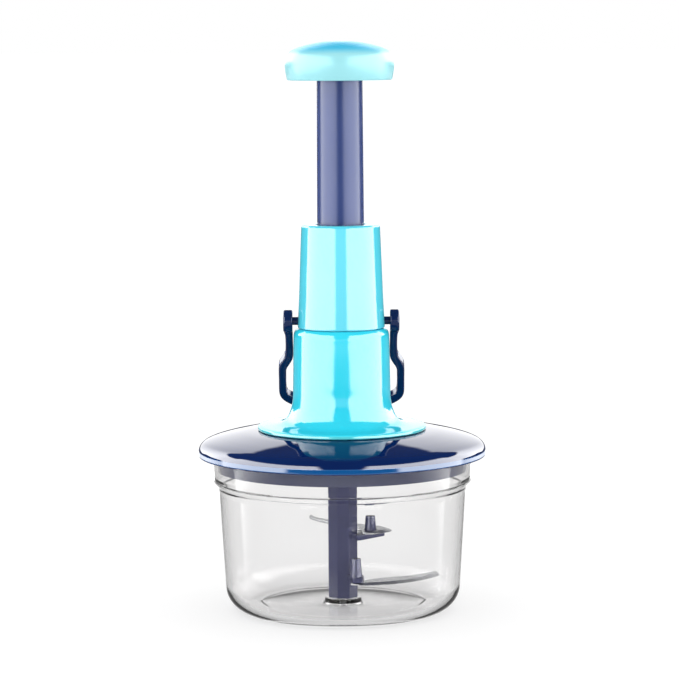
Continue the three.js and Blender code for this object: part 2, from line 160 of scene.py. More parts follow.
def lathe(name, profile, segments=160):
    """A turned solid about Z. The profile closes on itself, or starts and ends on the axis."""
    profile = tidy(profile)
    on_axis = profile[0][0] < 1e-6 and profile[-1][0] < 1e-6
    if not on_axis and (Vector(profile[0]) - Vector(profile[-1])).length < 1e-4:
        profile.pop()
    verts, rings = [], []
    for r, z in profile:
        if r < 1e-6:
            rings.append([len(verts)] * segments)
            verts.append((0, 0, z))
        else:
            start = len(verts)
            rings.append([start + i for i in range(segments)])
            for i in range(segments):
                w = 2 * math.pi * i / segments
                verts.append((r * math.cos(w), r * math.sin(w), z))
    faces = []
    count = len(rings)
    for k in range(count if not on_axis else count - 1):
        a, b = rings[k], rings[(k + 1) % count]
        for i in range(segments):
            j = (i + 1) % segments
            face = []
            for v in (a[i], a[j], b[j], b[i]):
                if v not in face:
                    face.append(v)
            if len(face) > 2:
                faces.append(face)
    return make(name, verts, faces)


def prism(name, outline, low, high):
    """A plate from an outline in XY."""
    outline = tidy(outline)
    n = len(outline)
    verts = [(x, y, low) for x, y in outline] + [(x, y, high) for x, y in outline]
    faces = [list(range(n))[::-1], list(range(n, 2 * n))]
    faces += [[i, (i + 1) % n, n + (i + 1) % n, n + i] for i in range(n)]
    return make(name, verts, faces)


def rod(name, radius, low, high, segments=48, place=(0, 0), top=None):
    """A straight or tapered round bar along Z."""
    top = radius if top is None else top
    verts = []
    for r, z in ((radius, low), (top, high)):
        for i in range(segments):
            w = 2 * math.pi * i / segments
            verts.append((place[0] + r * math.cos(w), place[1] + r * math.sin(w), z))
    faces = [list(range(segments))[::-1], list(range(segments, 2 * segments))]
    faces += [
        [i, (i + 1) % segments, segments + (i + 1) % segments, segments + i]
        for i in range(segments)
    ]
    return make(name, verts, faces)


def transform(obj, matrix):
    obj.data.transform(matrix)
    obj.data.update()
    return obj


def along_x(obj, height):
    """Lays an object made along Z down along X at that height."""
    turn = Matrix.Rotation(math.radians(90), 4, "Y")
    return transform(obj, Matrix.Translation((0, 0, height * MM)) @ turn)


def applied(obj):
    """Puts the result of an object's modifiers into its mesh."""
    bpy.context.view_layer.update()
    depsgraph = bpy.context.evaluated_depsgraph_get()
    mesh = bpy.data.meshes.new_from_object(obj.evaluated_get(depsgraph))
    obj.modifiers.clear()
    obj.data = mesh
    return obj


def combine(obj, tools, operation="DIFFERENCE"):
    for tool in tools:
        m = obj.modifiers.new("combine", "BOOLEAN")
        m.operation, m.solver, m.object = operation, "EXACT", tool
    applied(obj)
    for tool in tools:
        bpy.data.objects.remove(tool)
    return obj


def bevel(obj, width, segments=3, angle=30):
    m = obj.modifiers.new("bevel", "BEVEL")
    m.width, m.segments = width * MM, segments
    m.limit_method, m.angle_limit = "ANGLE", math.radians(angle)
    m.miter_outer = "MITER_ARC"
    m.use_clamp_overlap = True
    return applied(obj)


def finish_piece(obj, body, material, nodes, sharp=32):
    mesh = obj.data
    mesh.shade_smooth()
    mesh.set_sharp_from_angle(angle=math.radians(sharp))
    mesh.materials.clear()
    mesh.materials.append(material)
    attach(obj, body)
    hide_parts(*nodes)
    return obj


# ================================================================ materials
class Tree:
    """Short hand for building a material's nodes."""

    def __init__(self, name):
        self.material = bpy.data.materials.new(name)
        self.material.use_nodes = True
        self.nt = self.material.node_tree
        self.shader = self.nt.nodes["Principled BSDF"]

    def node(self, kind, **values):
        n = self.nt.nodes.new(kind)
        for key, value in values.items():
            if hasattr(n, key) and key not in n.inputs:
                setattr(n, key, value)
            else:
                n.inputs[key].default_value = value
        return n

    def link(self, a, b):
        self.nt.links.new(a, b)

    def set(self, **values):
        for key, value in values.items():
            self.shader.inputs[key.replace("_", " ")].default_value = value

    def coordinates(self, scale=(1, 1, 1)):
        c = self.node("ShaderNodeTexCoord")
        m = self.node("ShaderNodeMapping")
        m.inputs["Scale"].default_value = scale
        self.link(c.outputs["Object"], m.inputs["Vector"])
        return m.outputs["Vector"]

    def noise(self, vector, scale, detail=3.0, roughness=0.5):
        n = self.node("ShaderNodeTexNoise")
        n.inputs["Scale"].default_value = scale
        n.inputs["Detail"].default_value = detail
        n.inputs["Roughness"].default_value = roughness
        self.link(vector, n.inputs["Vector"])
        return n.outputs["Fac"]

    def ramp(self, value, low, high, to_low, to_high):
        n = self.node("ShaderNodeMapRange")
        for key, v in (
            ("From Min", low),
            ("From Max", high),
            ("To Min", to_low),
            ("To Max", to_high),
        ):
            n.inputs[key].default_value = v
        self.link(value, n.inputs["Value"])
        return n.outputs["Result"]

    def mix(self, fac, a, b):
        n = self.node("ShaderNodeMix")
        n.data_type = "RGBA"
        self.link(fac, n.inputs["Factor"])
        for socket, value in ((n.inputs[6], a), (n.inputs[7], b)):
            if isinstance(value, tuple):
                socket.default_value = value
            else:
                self.link(value, socket)
        return n.outputs[2]

    def math(self, operation, a, b=None):
        n = self.node("ShaderNodeMath")
        n.operation = operation
        for socket, value in zip(n.inputs, (a, b)):
            if value is None:
                continue
            if isinstance(value, (int, float)):
                socket.default_value = value
            else:
                self.link(value, socket)
        return n.outputs[0]

    def bump(self, height, strength, distance, normal=None):
        n = self.node("ShaderNodeBump")
        n.inputs["Strength"].default_value = strength
        n.inputs["Distance"].default_value = distance
        self.link(height, n.inputs["Height"])
        if normal is not None:
            self.link(normal, n.inputs["Normal"])
        return n.outputs["Normal"]


def rgb(r, g, b):
    return (r, g, b, 1.0)


def gloss_plastic(name, deep, light, rough, ior, flow=30.0, painted_rim_light=None, painted_side_sheen=None, spread=(0.75, 1.3)):
    """Injection-moulded gloss plastic: faint flow in the colour, a soft unevenness in the polish,
    fine handling marks in the roughness and a very shallow ripple left by the mould. Beyond a given
    radius the base colour can turn to a lighter tone, painted light at the rim; below a given height
    it can turn to a paler tone, a painted sheen."""
    t = Tree(name)
    v = t.coordinates()
    tone = t.mix(t.ramp(t.noise(v, flow, 2.0), 0.35, 0.65, 0, 1), deep, light)
    # Painted light at the rim: past the given radius the base colour turns lighter.
    if painted_rim_light:
        start, end, colour = painted_rim_light
        axes = t.node("ShaderNodeSeparateXYZ")
        t.link(v, axes.inputs[0])
        x, y = axes.outputs[0], axes.outputs[1]
        away = t.math("SQRT", t.math("ADD", t.math("MULTIPLY", x, x), t.math("MULTIPLY", y, y)))
        tone = t.mix(t.ramp(away, start * MM, end * MM, 0, 1), tone, colour)
    # Painted sheen: below the given height the base colour turns paler.
    if painted_side_sheen:
        start, end, colour = painted_side_sheen
        axes = t.node("ShaderNodeSeparateXYZ")
        t.link(v, axes.inputs[0])
        uneven = t.math("MULTIPLY", t.math("SUBTRACT", t.noise(v, 60.0, 1.0), 0.5), 0.0006)
        tall = t.math("ADD", axes.outputs[2], uneven)
        tone = t.mix(t.ramp(tall, start * MM, end * MM, 1, 0), tone, colour)
    t.link(tone, t.shader.inputs["Base Color"])
    cloud = t.noise(v, 120.0, 4.0, 0.6)
    marks = t.noise(t.coordinates((1.0, 1.0, 0.25)), 1900.0, 2.0, 0.7)
    both = t.math("ADD", t.math("MULTIPLY", cloud, 0.65), t.math("MULTIPLY", marks, 0.35))
    t.link(t.ramp(both, 0.35, 0.65, rough * spread[0], rough * spread[1]), t.shader.inputs["Roughness"])
    ripple = t.noise(v, 160.0, 2.0, 0.5)
    fine = t.noise(v, 3200.0, 2.0, 0.5)
    normal = t.bump(fine, 0.05, 0.00002, t.bump(ripple, 0.06, 0.00008))
    t.link(normal, t.shader.inputs["Normal"])
    t.set(IOR=ior)
    return t.material


# The flange edge from 39.6 mm outwards gets a lighter cyan base colour: a painted highlight for its bright edge line.
CYAN = gloss_plastic(
    "cyan_gloss", rgb(0.035, 0.75, 0.955), rgb(0.045, 0.78, 0.975), 0.09, 1.58, painted_rim_light=(39.6, 40.3, rgb(0.10, 0.85, 0.95))
)
CYAN_UPPER = gloss_plastic("cyan_upper_gloss", rgb(0.10, 0.73, 0.91), rgb(0.115, 0.76, 0.94), 0.09, 1.58)
# Below about 267 to 270 mm the cap's sides get a paler base colour: a painted sheen from the side light.
CYAN_CAP = gloss_plastic(
    "cyan_cap_gloss",
    rgb(0.02, 0.56, 0.87),
    rgb(0.03, 0.59, 0.90),
    0.30,
    1.5,
    painted_side_sheen=(267.2, 270.2, rgb(0.34, 0.77, 0.83)),
    spread=(0.95, 1.05),
)
# The lid's outer rim face from 69.06 mm gets a lighter blue base colour: painted light on the lip.
NAVY = gloss_plastic(
    "navy_gloss", rgb(0.0005, 0.014, 0.094), rgb(0.001, 0.017, 0.106), 0.035, 1.6, painted_rim_light=(69.06, 69.12, rgb(0.0005, 0.090, 0.300))
)
NAVY_PLUG = gloss_plastic("navy_plug_gloss", rgb(0.115, 0.130, 0.245), rgb(0.125, 0.140, 0.262), 0.07, 1.65)
NAVY_TUBE = gloss_plastic("navy_tube_gloss", rgb(0.018, 0.040, 0.160), rgb(0.022, 0.044, 0.172), 0.25, 1.41, spread=(0.94, 1.06))
NAVY_SHAFT = gloss_plastic("navy_shaft_gloss", rgb(0.078, 0.084, 0.200), rgb(0.085, 0.091, 0.215), 0.2, 1.45, spread=(0.9, 1.1))
NAVY_BAIL = gloss_plastic("navy_bail_gloss", rgb(0.0025, 0.016, 0.078), rgb(0.0035, 0.019, 0.088), 0.14, 1.4)


def clear_plastic():
    """Clear polished plastic with a faint waviness from the mould and light rubbing."""
    t = Tree("clear_polished")
    v = t.coordinates()
    marks = t.noise(t.coordinates((1, 1, 0.3)), 700.0, 4.0, 0.7)
    t.link(t.ramp(marks, 0.45, 0.8, 0.0, 0.05), t.shader.inputs["Roughness"])
    wave = t.noise(v, 45.0, 1.0, 0.4)
    t.link(t.bump(wave, 0.08, 0.0003), t.shader.inputs["Normal"])
    t.link(
        t.mix(t.ramp(t.noise(v, 25.0, 1.0), 0.3, 0.7, 0, 1), rgb(0.888, 0.884, 0.884), rgb(0.905, 0.902, 0.902)),
        t.shader.inputs["Base Color"],
    )
    t.set(IOR=1.4, Transmission_Weight=1.0, Specular_Tint=rgb(0.35, 0.35, 0.35))
    return t.material


CLEAR = clear_plastic()


def steel(name, tone, rough, stretch, depth=0.00001):
    """Stainless steel with fine grinding lines along one direction and a slight cloudiness."""
    t = Tree(name)
    lines = t.noise(t.coordinates(stretch), 900.0, 4.0, 0.65)
    cloud = t.noise(t.coordinates(), 90.0, 3.0, 0.6)
    t.link(t.ramp(lines, 0.3, 0.7, rough * 0.7, rough * 1.4), t.shader.inputs["Roughness"])
    dark, bright = tuple(c * 0.86 for c in tone) + (1.0,), tone + (1.0,)
    t.link(t.mix(t.ramp(cloud, 0.3, 0.7, 0, 1), dark, bright), t.shader.inputs["Base Color"])
    t.link(t.bump(lines, 0.25, depth), t.shader.inputs["Normal"])
    t.set(Metallic=1.0)
    return t.material


BLADE_STEEL = steel("blade_steel", (0.60, 0.61, 0.63), 0.24, (0.15, 3.0, 1.0))
ROD_STEEL = steel("rod_steel", (0.20, 0.205, 0.215), 0.42, (1.0, 1.0, 0.08))
SCREW_STEEL = steel("screw_steel", (0.58, 0.57, 0.55), 0.3, (1.0, 1.0, 1.0))
SPRING_STEEL = steel("spring_steel", (0.50, 0.50, 0.51), 0.28, (1.0, 1.0, 2.0))


def nylon():
    """Natural white nylon as moulded: matte, slightly mottled, with a fine spark-eroded texture."""
    t = Tree("natural_nylon")
    v = t.coordinates()
    t.link(
        t.mix(t.ramp(t.noise(v, 180.0, 3.0), 0.3, 0.7, 0, 1), rgb(0.76, 0.76, 0.73), rgb(0.83, 0.83, 0.80)),
        t.shader.inputs["Base Color"],
    )
    grain = t.noise(v, 5200.0, 3.0, 0.6)
    t.link(t.ramp(grain, 0.3, 0.7, 0.38, 0.55), t.shader.inputs["Roughness"])
    t.link(t.bump(grain, 0.3, 0.00002), t.shader.inputs["Normal"])
    t.set(IOR=1.53, Subsurface_Weight=0.15, Subsurface_Scale=0.002)
    return t.material


def silicone():
    """Translucent silicone with a matte skin and a trace of dust."""
    t = Tree("silicone")
    v = t.coordinates()
    grain = t.noise(v, 2600.0, 3.0, 0.6)
    t.link(
        t.mix(t.ramp(t.noise(v, 300.0, 4.0), 0.4, 0.7, 0, 1), rgb(0.80, 0.84, 0.88), rgb(0.88, 0.90, 0.92)),
        t.shader.inputs["Base Color"],
    )
    t.link(t.ramp(grain, 0.3, 0.7, 0.5, 0.7), t.shader.inputs["Roughness"])
    t.link(t.bump(grain, 0.3, 0.00002), t.shader.inputs["Normal"])
    t.set(IOR=1.41, Transmission_Weight=0.45)
    return t.material


NYLON = nylon()
SILICONE = silicone()

# ================================================================ bowl
bowl = lathe(
    "bowl_clear",
    rounded(
        [
            (0, 0.9),
            (39.4, 0.9, 0.5),
            (40.4, 0.0, 0.5),
            *arc(44.6, 12, 12, -90, 0, 24),
            (59.3, 57.6, 3.0),
            (59.75, 60.2, 0.1),
            (59.72, 60.55, 0.08),
            (60.05, 60.75, 0.1),
            (61.5, 62.75, 0.1),
            (61.78, 62.9, 0.12),
            (61.82, 63.15, 0.12),
            (61.66, 63.4, 0.1),
            (62.75, 75.0, 0.6),
            (62.25, 75.6, 0.5),
            (60.7, 75.6, 0.4),
            (60.3, 75.0, 0.4),
            (60.2, 65.6, 1.0),
            (59.8, 63.7, 0.4),
            (58.0, 61.1, 0.4),
            (57.35, 59.6, 1.0),
            *arc(44.6, 12.8, 9.8, 0, -90, 20),
            (9.6, 3.0, 0.5),
            (9.0, 3.6, 0.4),
            (8.8, 5.8, 0.4),
            (1.65, 5.8, 0.2),
            (1.65, 2.0),
            (0, 2.0),
        ]
    ),
    224,
)
finish_piece(bowl, "bowl", CLEAR, ["bowl"], 40)

spindle = lathe(
    "spindle_pin_steel",
    rounded([(0, 2.05), (1.5, 2.05, 0.2), (1.5, 8.2, 0.5), (1.0, 8.75, 0.3), (0, 8.8)]),
    48,
)
finish_piece(spindle, "bowl", ROD_STEEL, ["spindle_pin"])

# ================================================================ lid
RING_4 = [math.radians(a) for a in (45, 135, 225, 315)]
RING_3 = [math.radians(a) for a in (90, 210, 330)]


def holes(radius, ring, angles, low, high):
    return [
        rod("hole", radius, low, high, 32, (ring * math.cos(a), ring * math.sin(a)))
        for a in angles
    ]


outer_lid = lathe(
    "outer_lid_gloss",
    rounded(
        [
            (8.4, 84.2, 0.2),
            *spline([(41, 84.2), (50, 83.4), (58, 81.9), (63.4, 80.0), (65.9, 78.3), (66.7, 76.4)], 5),
            *spline(
                [
                    (67.5, 75.4),
                    (68.4, 75.28),
                    (68.95, 75.45),
                    (69.12, 75.9),
                ],
                6,
            ),
            (69.12, 76.15),
            (69.12, 77.8),
            *spline(
                [
                    (69.12, 78.0),
                    (68.93, 78.8),
                    (68.6, 79.6),
                    (67.9, 80.6),
                    (66.5, 81.8),
                    (64.5, 82.75),
                    (62, 83.6),
                    (59.5, 84.3),
                    (56, 85.15),
                    (50, 86.35),
                    (46, 87.0),
                    (41.2, 87.5),
                    (38.5, 87.6),
                ],
                6,
            ),
            (16.3, 87.6, 0.15),
            (16.3, 86.0),
            (8.4, 86.0, 0.2),
        ],
        closed=True,
    ),
    256,
)
combine(outer_lid, holes(1.9, 30, RING_4, 83, 88.5) + holes(1.4, 12.6, RING_3, 83, 87))
finish_piece(outer_lid, "lid", NAVY, ["outer_lid"], 40)

inner_lid = lathe(
    "inner_lid_gloss",
    rounded(
        [
            (9.9, 70.0, 0.4),
            (12.0, 70.0, 0.4),
            (12.3, 77.05, 0.5),
            (57.4, 77.05, 0.8),
            (57.6, 68.6, 0.6),
            (59.7, 68.6, 0.4),
            (59.8, 75.4, 0.2),
            (59.9, 77.05),
            (63.4, 77.05, 0.3),
            (63.4, 78.3, 0.3),
            (60.0, 79.0),
            (9.9, 79.0, 0.3),
        ],
        closed=True,
    ),
    224,
)
finish_piece(inner_lid, "lid", NAVY_PLUG, ["inner_lid"], 40)

lid_seal = lathe(
    "lid_seal_silicone",
    rounded(
        [
            (60.3, 75.7, 0.2),
            (62.3, 75.7, 0.3),
            (62.5, 76.4, 0.4),
            (62.3, 77.0, 0.2),
            (60.3, 77.0, 0.2),
            (60.1, 76.4, 0.4),
        ],
        closed=True,
    ),
    192,
)
finish_piece(lid_seal, "lid", SILICONE, ["lid_seal"], 60)

# ================================================================ housing
lower_housing = lathe(
    "lower_housing_gloss",
    rounded(
        [
            (21.3, 87.7, 0.3),
            (40.1, 87.7, 0.25),
            (40.45, 88.1, 0.4),
            *spline(
                [
                    (40.45, 88.6),
                    (40.3, 89.25),
                    (39.6, 89.65),
                    (35, 90.1),
                    (31, 90.6),
                    (28.3, 91.5),
                    (26.4, 93.2),
                    (25.1, 95.8),
                    (24.1, 99),
                    (23.55, 103),
                    (23.35, 111),
                    (22.95, 130.5),
                    (22.8, 133.6),
                    (22.25, 135.2),
                    (21.3, 136.2),
                    (20.3, 136.5),
                ],
                6,
            ),
            (19.85, 136.5, 0.1),
            (19.85, 124, 0.3),
            (21.2, 122.6, 0.5),
        ],
        closed=True,
    ),
    192,
)
combine(lower_housing, holes(1.45, 30, RING_4, 86, 89.95))
finish_piece(lower_housing, "lid", CYAN, ["lower_housing"], 40)

upper_housing = lathe(
    "upper_housing_gloss",
    rounded(
        [
            (17.4, 126.5, 0.3),
            (19.5, 126.5, 0.3),
            (19.6, 136.8, 0.1),
            (20.95, 136.8, 0.3),
            (20.92, 137.6),
            *spline([(20.9, 138.5), (20.75, 141), (20.6, 143.8), (20.3, 149), (19.6, 166), (18.85, 184.2)], 4),
            (18.78, 185.3, 0.6),
            (17.9, 186.2, 1.0),
            (12.4, 186.2, 0.4),
            (12.4, 183.7, 0.3),
            (16.8, 183.7, 0.6),
            (18.2, 149),
            (18.4, 138.6),
            (17.4, 136.6, 0.4),
        ],
        closed=True,
    ),
    192,
)
combine(upper_housing, [along_x(rod("hole", 2.25, -24, 24, 48), 139.8)])
finish_piece(upper_housing, "lid", CYAN_UPPER, ["upper_housing"], 40)

guide_bush = lathe(
    "guide_bush_nylon",
    rounded([(11.5, 177, 0.5), (16.3, 177, 0.4), (16.3, 183.4, 0.4), (11.5, 183.4, 0.5)], closed=True),
    96,
)
finish_piece(guide_bush, "lid", NYLON, ["guide_bush"])

drive_cover = lathe(
    "drive_cover_nylon",
    rounded(
        [
            (8.15, 86.1, 0.2),
            (15.9, 86.1, 0.3),
            (15.9, 87.5, 0.3),
            (9.25, 87.5, 0.5),
            (9.25, 100.2, 0.4),
            (4.7, 100.2, 0.2),
            (4.7, 99.2, 0.2),
            (8.15, 99.2, 0.3),
        ],
        closed=True,
    ),
    96,
)
combine(drive_cover, holes(1.4, 12.6, RING_3, 85, 88.5))
finish_piece(drive_cover, "lid", NYLON, ["drive_cover"])

spring_seat = lathe(
    "spring_seat_steel",
    rounded([(4.75, 100.25, 0.1), (8.9, 100.25, 0.1), (8.9, 101.0, 0.1), (4.75, 101.0, 0.1)], closed=True),
    72,
)
finish_piece(spring_seat, "lid", SCREW_STEEL, ["spring_seat"])


# ================================================================ return spring
def coil_spring(name, mean, wire, low, high, dead, live, per_coil=40, sides=12):
    """A compression spring about Z: dead turns lie close at each end, live turns between."""
    bottom, top = low + wire, high - wire
    shut = dead * wire * 2.1
    total = dead * 2 + live
    steps = int(total * per_coil)

    def height(turns):
        if turns < dead:
            return bottom + shut * turns / dead
        if turns > dead + live:
            return top - shut * (total - turns) / dead
        return bottom + shut + (top - bottom - 2 * shut) * (turns - dead) / live

    verts, faces = [], []
    for i in range(steps + 1):
        turns = total * i / steps
        w = 2 * math.pi * turns
        for k in range(sides):
            b = 2 * math.pi * k / sides
            r = mean + wire * math.cos(b)
            verts.append((r * math.cos(w), r * math.sin(w), height(turns) + wire * math.sin(b)))
    for i in range(steps):
        for k in range(sides):
            n = (k + 1) % sides
            a, b = i * sides, (i + 1) * sides
            faces.append([a + k, a + n, b + n, b + k])
    faces.append(list(range(sides))[::-1])
    faces.append([steps * sides + k for k in range(sides)])
    return make(name, verts, faces)


spring = coil_spring("return_spring_wire", 7.2, 0.65, 101.1, 255.4, 1.0, 16.0)
finish_piece(spring, "lid", SPRING_STEEL, ["return_spring"], 60)
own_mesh(spring)


# ================================================================ drive
def sector(inner, outer, start, sweep, low, high):
    n = 8
    outline = [(outer * math.cos(start + sweep * i / n), outer * math.sin(start + sweep * i / n)) for i in range(n + 1)]
    outline += [
        (inner * math.cos(start + sweep * i / n), inner * math.sin(start + sweep * i / n)) for i in range(n, -1, -1)
    ]
    return prism("tooth", outline, low, high)


ROD_LEAD = 33.0


def twisted(name, width, thick, low, high, corner=0.5, per_turn=72):
    """The flat bar's section, turned with height at the rod's own lead, left-handed."""
    w, t = width / 2, thick / 2
    section = rounded([(w, -t, corner), (w, t, corner), (-w, t, corner), (-w, -t, corner)], 4, closed=True)
    section = tidy(section)
    steps = max(2, int(math.ceil((high - low) / ROD_LEAD * per_turn)))
    verts, faces, n = [], [], len(section)
    for i in range(steps + 1):
        z = low + (high - low) * i / steps
        a = -2 * math.pi * z / ROD_LEAD
        c, s = math.cos(a), math.sin(a)
        verts += [(x * c - y * s, x * s + y * c, z) for x, y in section]
    for i in range(steps):
        for k in range(n):
            m = (k + 1) % n
            faces.append([i * n + k, i * n + m, (i + 1) * n + m, (i + 1) * n + k])
    faces.append(list(range(n))[::-1])
    faces.append([steps * n + k for k in range(n)])
    return make(name, verts, faces)


TOOTH = math.radians(24)
drive_nut = lathe("drive_nut_nylon", rounded([(0, 91.0), (7.8, 91.0, 0.3), (7.8, 98.8, 0.5), (0, 98.8)]), 96)
combine(drive_nut, [sector(5.2, 7.6, i * math.pi / 3, TOOTH, 89.3, 91.4) for i in range(6)], "UNION")
combine(drive_nut, [twisted("slot", 8.8, 3.4, 86, 103, 0.4)])
finish_piece(drive_nut, "drive", NYLON, ["drive_nut"])

coupler = lathe(
    "output_coupler_nylon",
    rounded(
        [
            (0, 79.6),
            (9.4, 79.6, 0.4),
            (9.4, 83.8, 0.4),
            (7.8, 83.8, 0.3),
            (7.8, 89.0, 0.3),
            (0, 89.0),
        ]
    ),
    96,
)
HEX_CORNER = 6.0 / math.cos(math.pi / 6)
hexagon = prism(
    "hexagon",
    rounded([(HEX_CORNER * math.cos(i * math.pi / 3), HEX_CORNER * math.sin(i * math.pi / 3), 0.6) for i in range(6)], 4, closed=True),
    68.6,
    80.2,
)
combine(
    coupler,
    [hexagon] + [sector(5.2, 7.6, i * math.pi / 3 + math.pi / 6, TOOTH, 88.6, 90.7) for i in range(6)],
    "UNION",
)
combine(coupler, [rod("bore", 4.85, 60, 95, 72)])
finish_piece(coupler, "drive", NYLON, ["output_coupler"])

# ================================================================ plunger
press_cap = lathe(
    "press_cap_gloss",
    rounded(
        [
            *spline(
                [
                    (0, 273.1),
                    (4.5, 273.0),
                    (9.3, 272.65),
                    (14.1, 271.75),
                    (18.8, 270.5),
                    (21.65, 269.5),
                    (23.4, 268.5),
                    (24.7, 267.1),
                    (25.5, 265.3),
                    (26.0, 262.7),
                    (25.75, 259),
                    (25.15, 255.7),
                ],
                6,
            ),
            (24.95, 254.75, 0.5),
            (23.6, 254.7, 0.4),
            *spline([(23.95, 259), (24.0, 262.4), (23.3, 265.5), (21.3, 267.7), (19.5, 268.8)], 5),
            (18.9, 268.95),
            (12.3, 268.95, 0.4),
            (12.2, 266.4, 0.3),
            (11.2, 266.4, 0.2),
            (11.2, 268.95, 0.1),
            (1.6, 268.95),
            (1.6, 272.0),
            (0, 272.0),
        ]
    ),
    224,
)
finish_piece(press_cap, "plunger", CYAN_CAP, ["press_cap"], 40)

plunger_tube = lathe(
    "plunger_tube_gloss",
    rounded(
        [
            (9.6, 171.9, 0.3),
            (12.9, 171.9, 0.4),
            (12.9, 176.6, 0.5),
            (11.2, 176.65, 0.3),
            (11.2, 186.2),
            (11.05, 220),
            (10.9, 254.7),
            (10.88, 257.0),
            (10.88, 261.0),
            (10.85, 268.85, 0.6),
            (1.75, 268.85, 0.1),
            (1.75, 266.4, 0.1),
            (9.35, 266.4, 0.6),
            (9.35, 255),
        ],
        closed=True,
    ),
    160,
)
PIN_Z = (255.6 + 262.6) / 2
combine(plunger_tube, [along_x(rod("hole", 1.35, -14, 14, 40), PIN_Z)])
finish_piece(plunger_tube, "plunger", NAVY_TUBE, ["plunger_tube"], 40)

spiral_rod = twisted("spiral_rod_steel", 8.0, 2.6, 91.9, 256.4, 0.5)
rod_head = lathe("head", rounded([(0, 255.6), (9.05, 255.6, 0.6), (9.05, 262.6, 0.6), (0, 262.6)]), 96)
combine(spiral_rod, [rod_head], "UNION")
combine(spiral_rod, [along_x(rod("hole", 1.35, -14, 14, 40), PIN_Z)])
finish_piece(spiral_rod, "plunger", ROD_STEEL, ["spiral_rod"])

rod_pin = lathe("rod_pin_steel", rounded([(0, -10.6), (1.2, -10.6, 0.3), (1.2, 10.6, 0.3), (0, 10.6)]), 40)
along_x(rod_pin, PIN_Z)
finish_piece(rod_pin, "plunger", ROD_STEEL, ["rod_pin"])


# ================================================================ screws
def cross_recess(size, width, low, high, place=(0, 0)):
    out = []
    for turn in (0, 1):
        w, h = (size / 2, width / 2) if turn == 0 else (width / 2, size / 2)
        x, y = place
        out.append(prism("recess", [(x - w, y - h), (x + w, y - h), (x + w, y + h), (x - w, y + h)], low, high))
    return out


def threaded(profile, place):
    """A turned screw; the thread is a row of rounded crests, fine enough to read as a helix."""
    piece = lathe("screw", profile, 48)
    return transform(piece, Matrix.Translation((place[0] * MM, place[1] * MM, 0)))


def crests(core, crest, low, high, pitch):
    """Profile points of a thread going up from low to high."""
    n = max(1, int((high - low) / pitch))
    step = (high - low) / n
    out = []
    for i in range(n):
        z = low + i * step
        out += [(core, z + step * 0.15), (crest, z + step * 0.5), (core, z + step * 0.85)]
    return out


for i, a in enumerate(RING_4):
    place = (30 * math.cos(a), 30 * math.sin(a))
    screw = threaded(
        [
            (0, 81.9),
            *rounded([(2.3, 81.9), (2.9, 82.4, 0.4), (2.9, 83.9, 0.2), (1.05, 83.95)])[0:],
            *crests(1.0, 1.25, 84.2, 89.2, 0.8),
            (0.9, 89.4),
            (0, 89.8),
        ],
        place,
    )
    combine(screw, cross_recess(3.0, 0.7, 81.0, 83.0, place))
    screw.name = f"housing_screw_{i + 1}_steel"
    finish_piece(screw, "lid", SCREW_STEEL, [f"housing_screw_{i + 1}"])

for i, a in enumerate(RING_3):
    place = (12.6 * math.cos(a), 12.6 * math.sin(a))
    screw = threaded(
        [
            (0, 84.6),
            (0.8, 84.8),
            *crests(0.85, 1.1, 84.95, 87.5, 0.6),
            (0.95, 87.55),
            *rounded([(1.9, 87.6), (1.9, 88.3, 0.4), (1.3, 88.6, 0.4)]),
            (0, 88.6),
        ],
        place,
    )
    combine(screw, cross_recess(2.0, 0.5, 88.0, 89.5, place))
    screw.name = f"cover_screw_{i + 1}_steel"
    finish_piece(screw, "lid", SCREW_STEEL, [f"cover_screw_{i + 1}"])

cap_screw = threaded(
    [
        (0, 264.2),
        *rounded([(2.2, 264.2), (3.1, 264.9, 0.5), (3.1, 266.3, 0.2), (1.25, 266.35)])[0:],
        *crests(1.15, 1.4, 266.6, 271.3, 0.8),
        (0.9, 271.6),
        (0, 271.9),
    ],
    (0, 0),
)
combine(cap_screw, cross_recess(3.4, 0.8, 263.0, 265.4))
cap_screw.name = "cap_screw_steel"
finish_piece(cap_screw, "plunger", SCREW_STEEL, ["cap_screw"])

# ================================================================ blade column
# Eight-sided column with softened corners over the round one's size, two arms with tapered pegs.
CORNERS = 7.5
column = prism(
    "column",
    rounded(
        [
            (
                CORNERS * math.sin(math.radians(24.6 + 45 * i)),
                -CORNERS * math.cos(math.radians(24.6 + 45 * i)),
                1.0,
            )
            for i in range(8)
        ],
        5,
        closed=True,
    ),
    6.0,
    67.4,
)
head = lathe("head", rounded([(0, 66.2), (7.1, 66.2, 0.3), (9.2, 67.9, 0.6), (9.2, 78.8, 0.5), (0, 78.8)]), 96)
LOWER_PEG, UPPER_PEG = (6.3, -12.2), (13.4, 0.0)
LOWER_ARM = [
    (0.5, -5.0),
    (3.9, -9.0, 1.0),
    (4.4, -15.2, 1.0),
    (5.6, -16.5, 0.8),
    (8.3, -16.5, 1.0),
    (9.7, -14.9, 1.2),
    (10.1, -10.5, 2.0),
    (7.6, -3.5, 2.0),
    (5.5, 1.0),
]
UPPER_ARM = [
    (0.5, -5.2),
    (6.4, -5.6, 0.4),
    (6.9, -9.2, 0.5),
    (8.6, -8.4, 1.0),
    (20.2, 3.4, 1.0),
    (20.4, 5.4, 0.9),
    (18.0, 6.6, 1.4),
    (8.0, 6.5, 2.0),
    (0, 7.0, 1.0),
]
arms = [
    prism("arm", rounded(LOWER_ARM, 5, closed=True), 15.2, 17.6),
    prism("arm", rounded(UPPER_ARM, 5, closed=True), 34.4, 36.8),
    rod("peg", 3.0, 17.0, 26.3, 48, LOWER_PEG, 2.2),
    rod("peg", 3.0, 36.0, 44.8, 48, UPPER_PEG, 2.3),
]
combine(column, [head] + arms, "UNION")
bevel(column, 0.35, 3, 50)
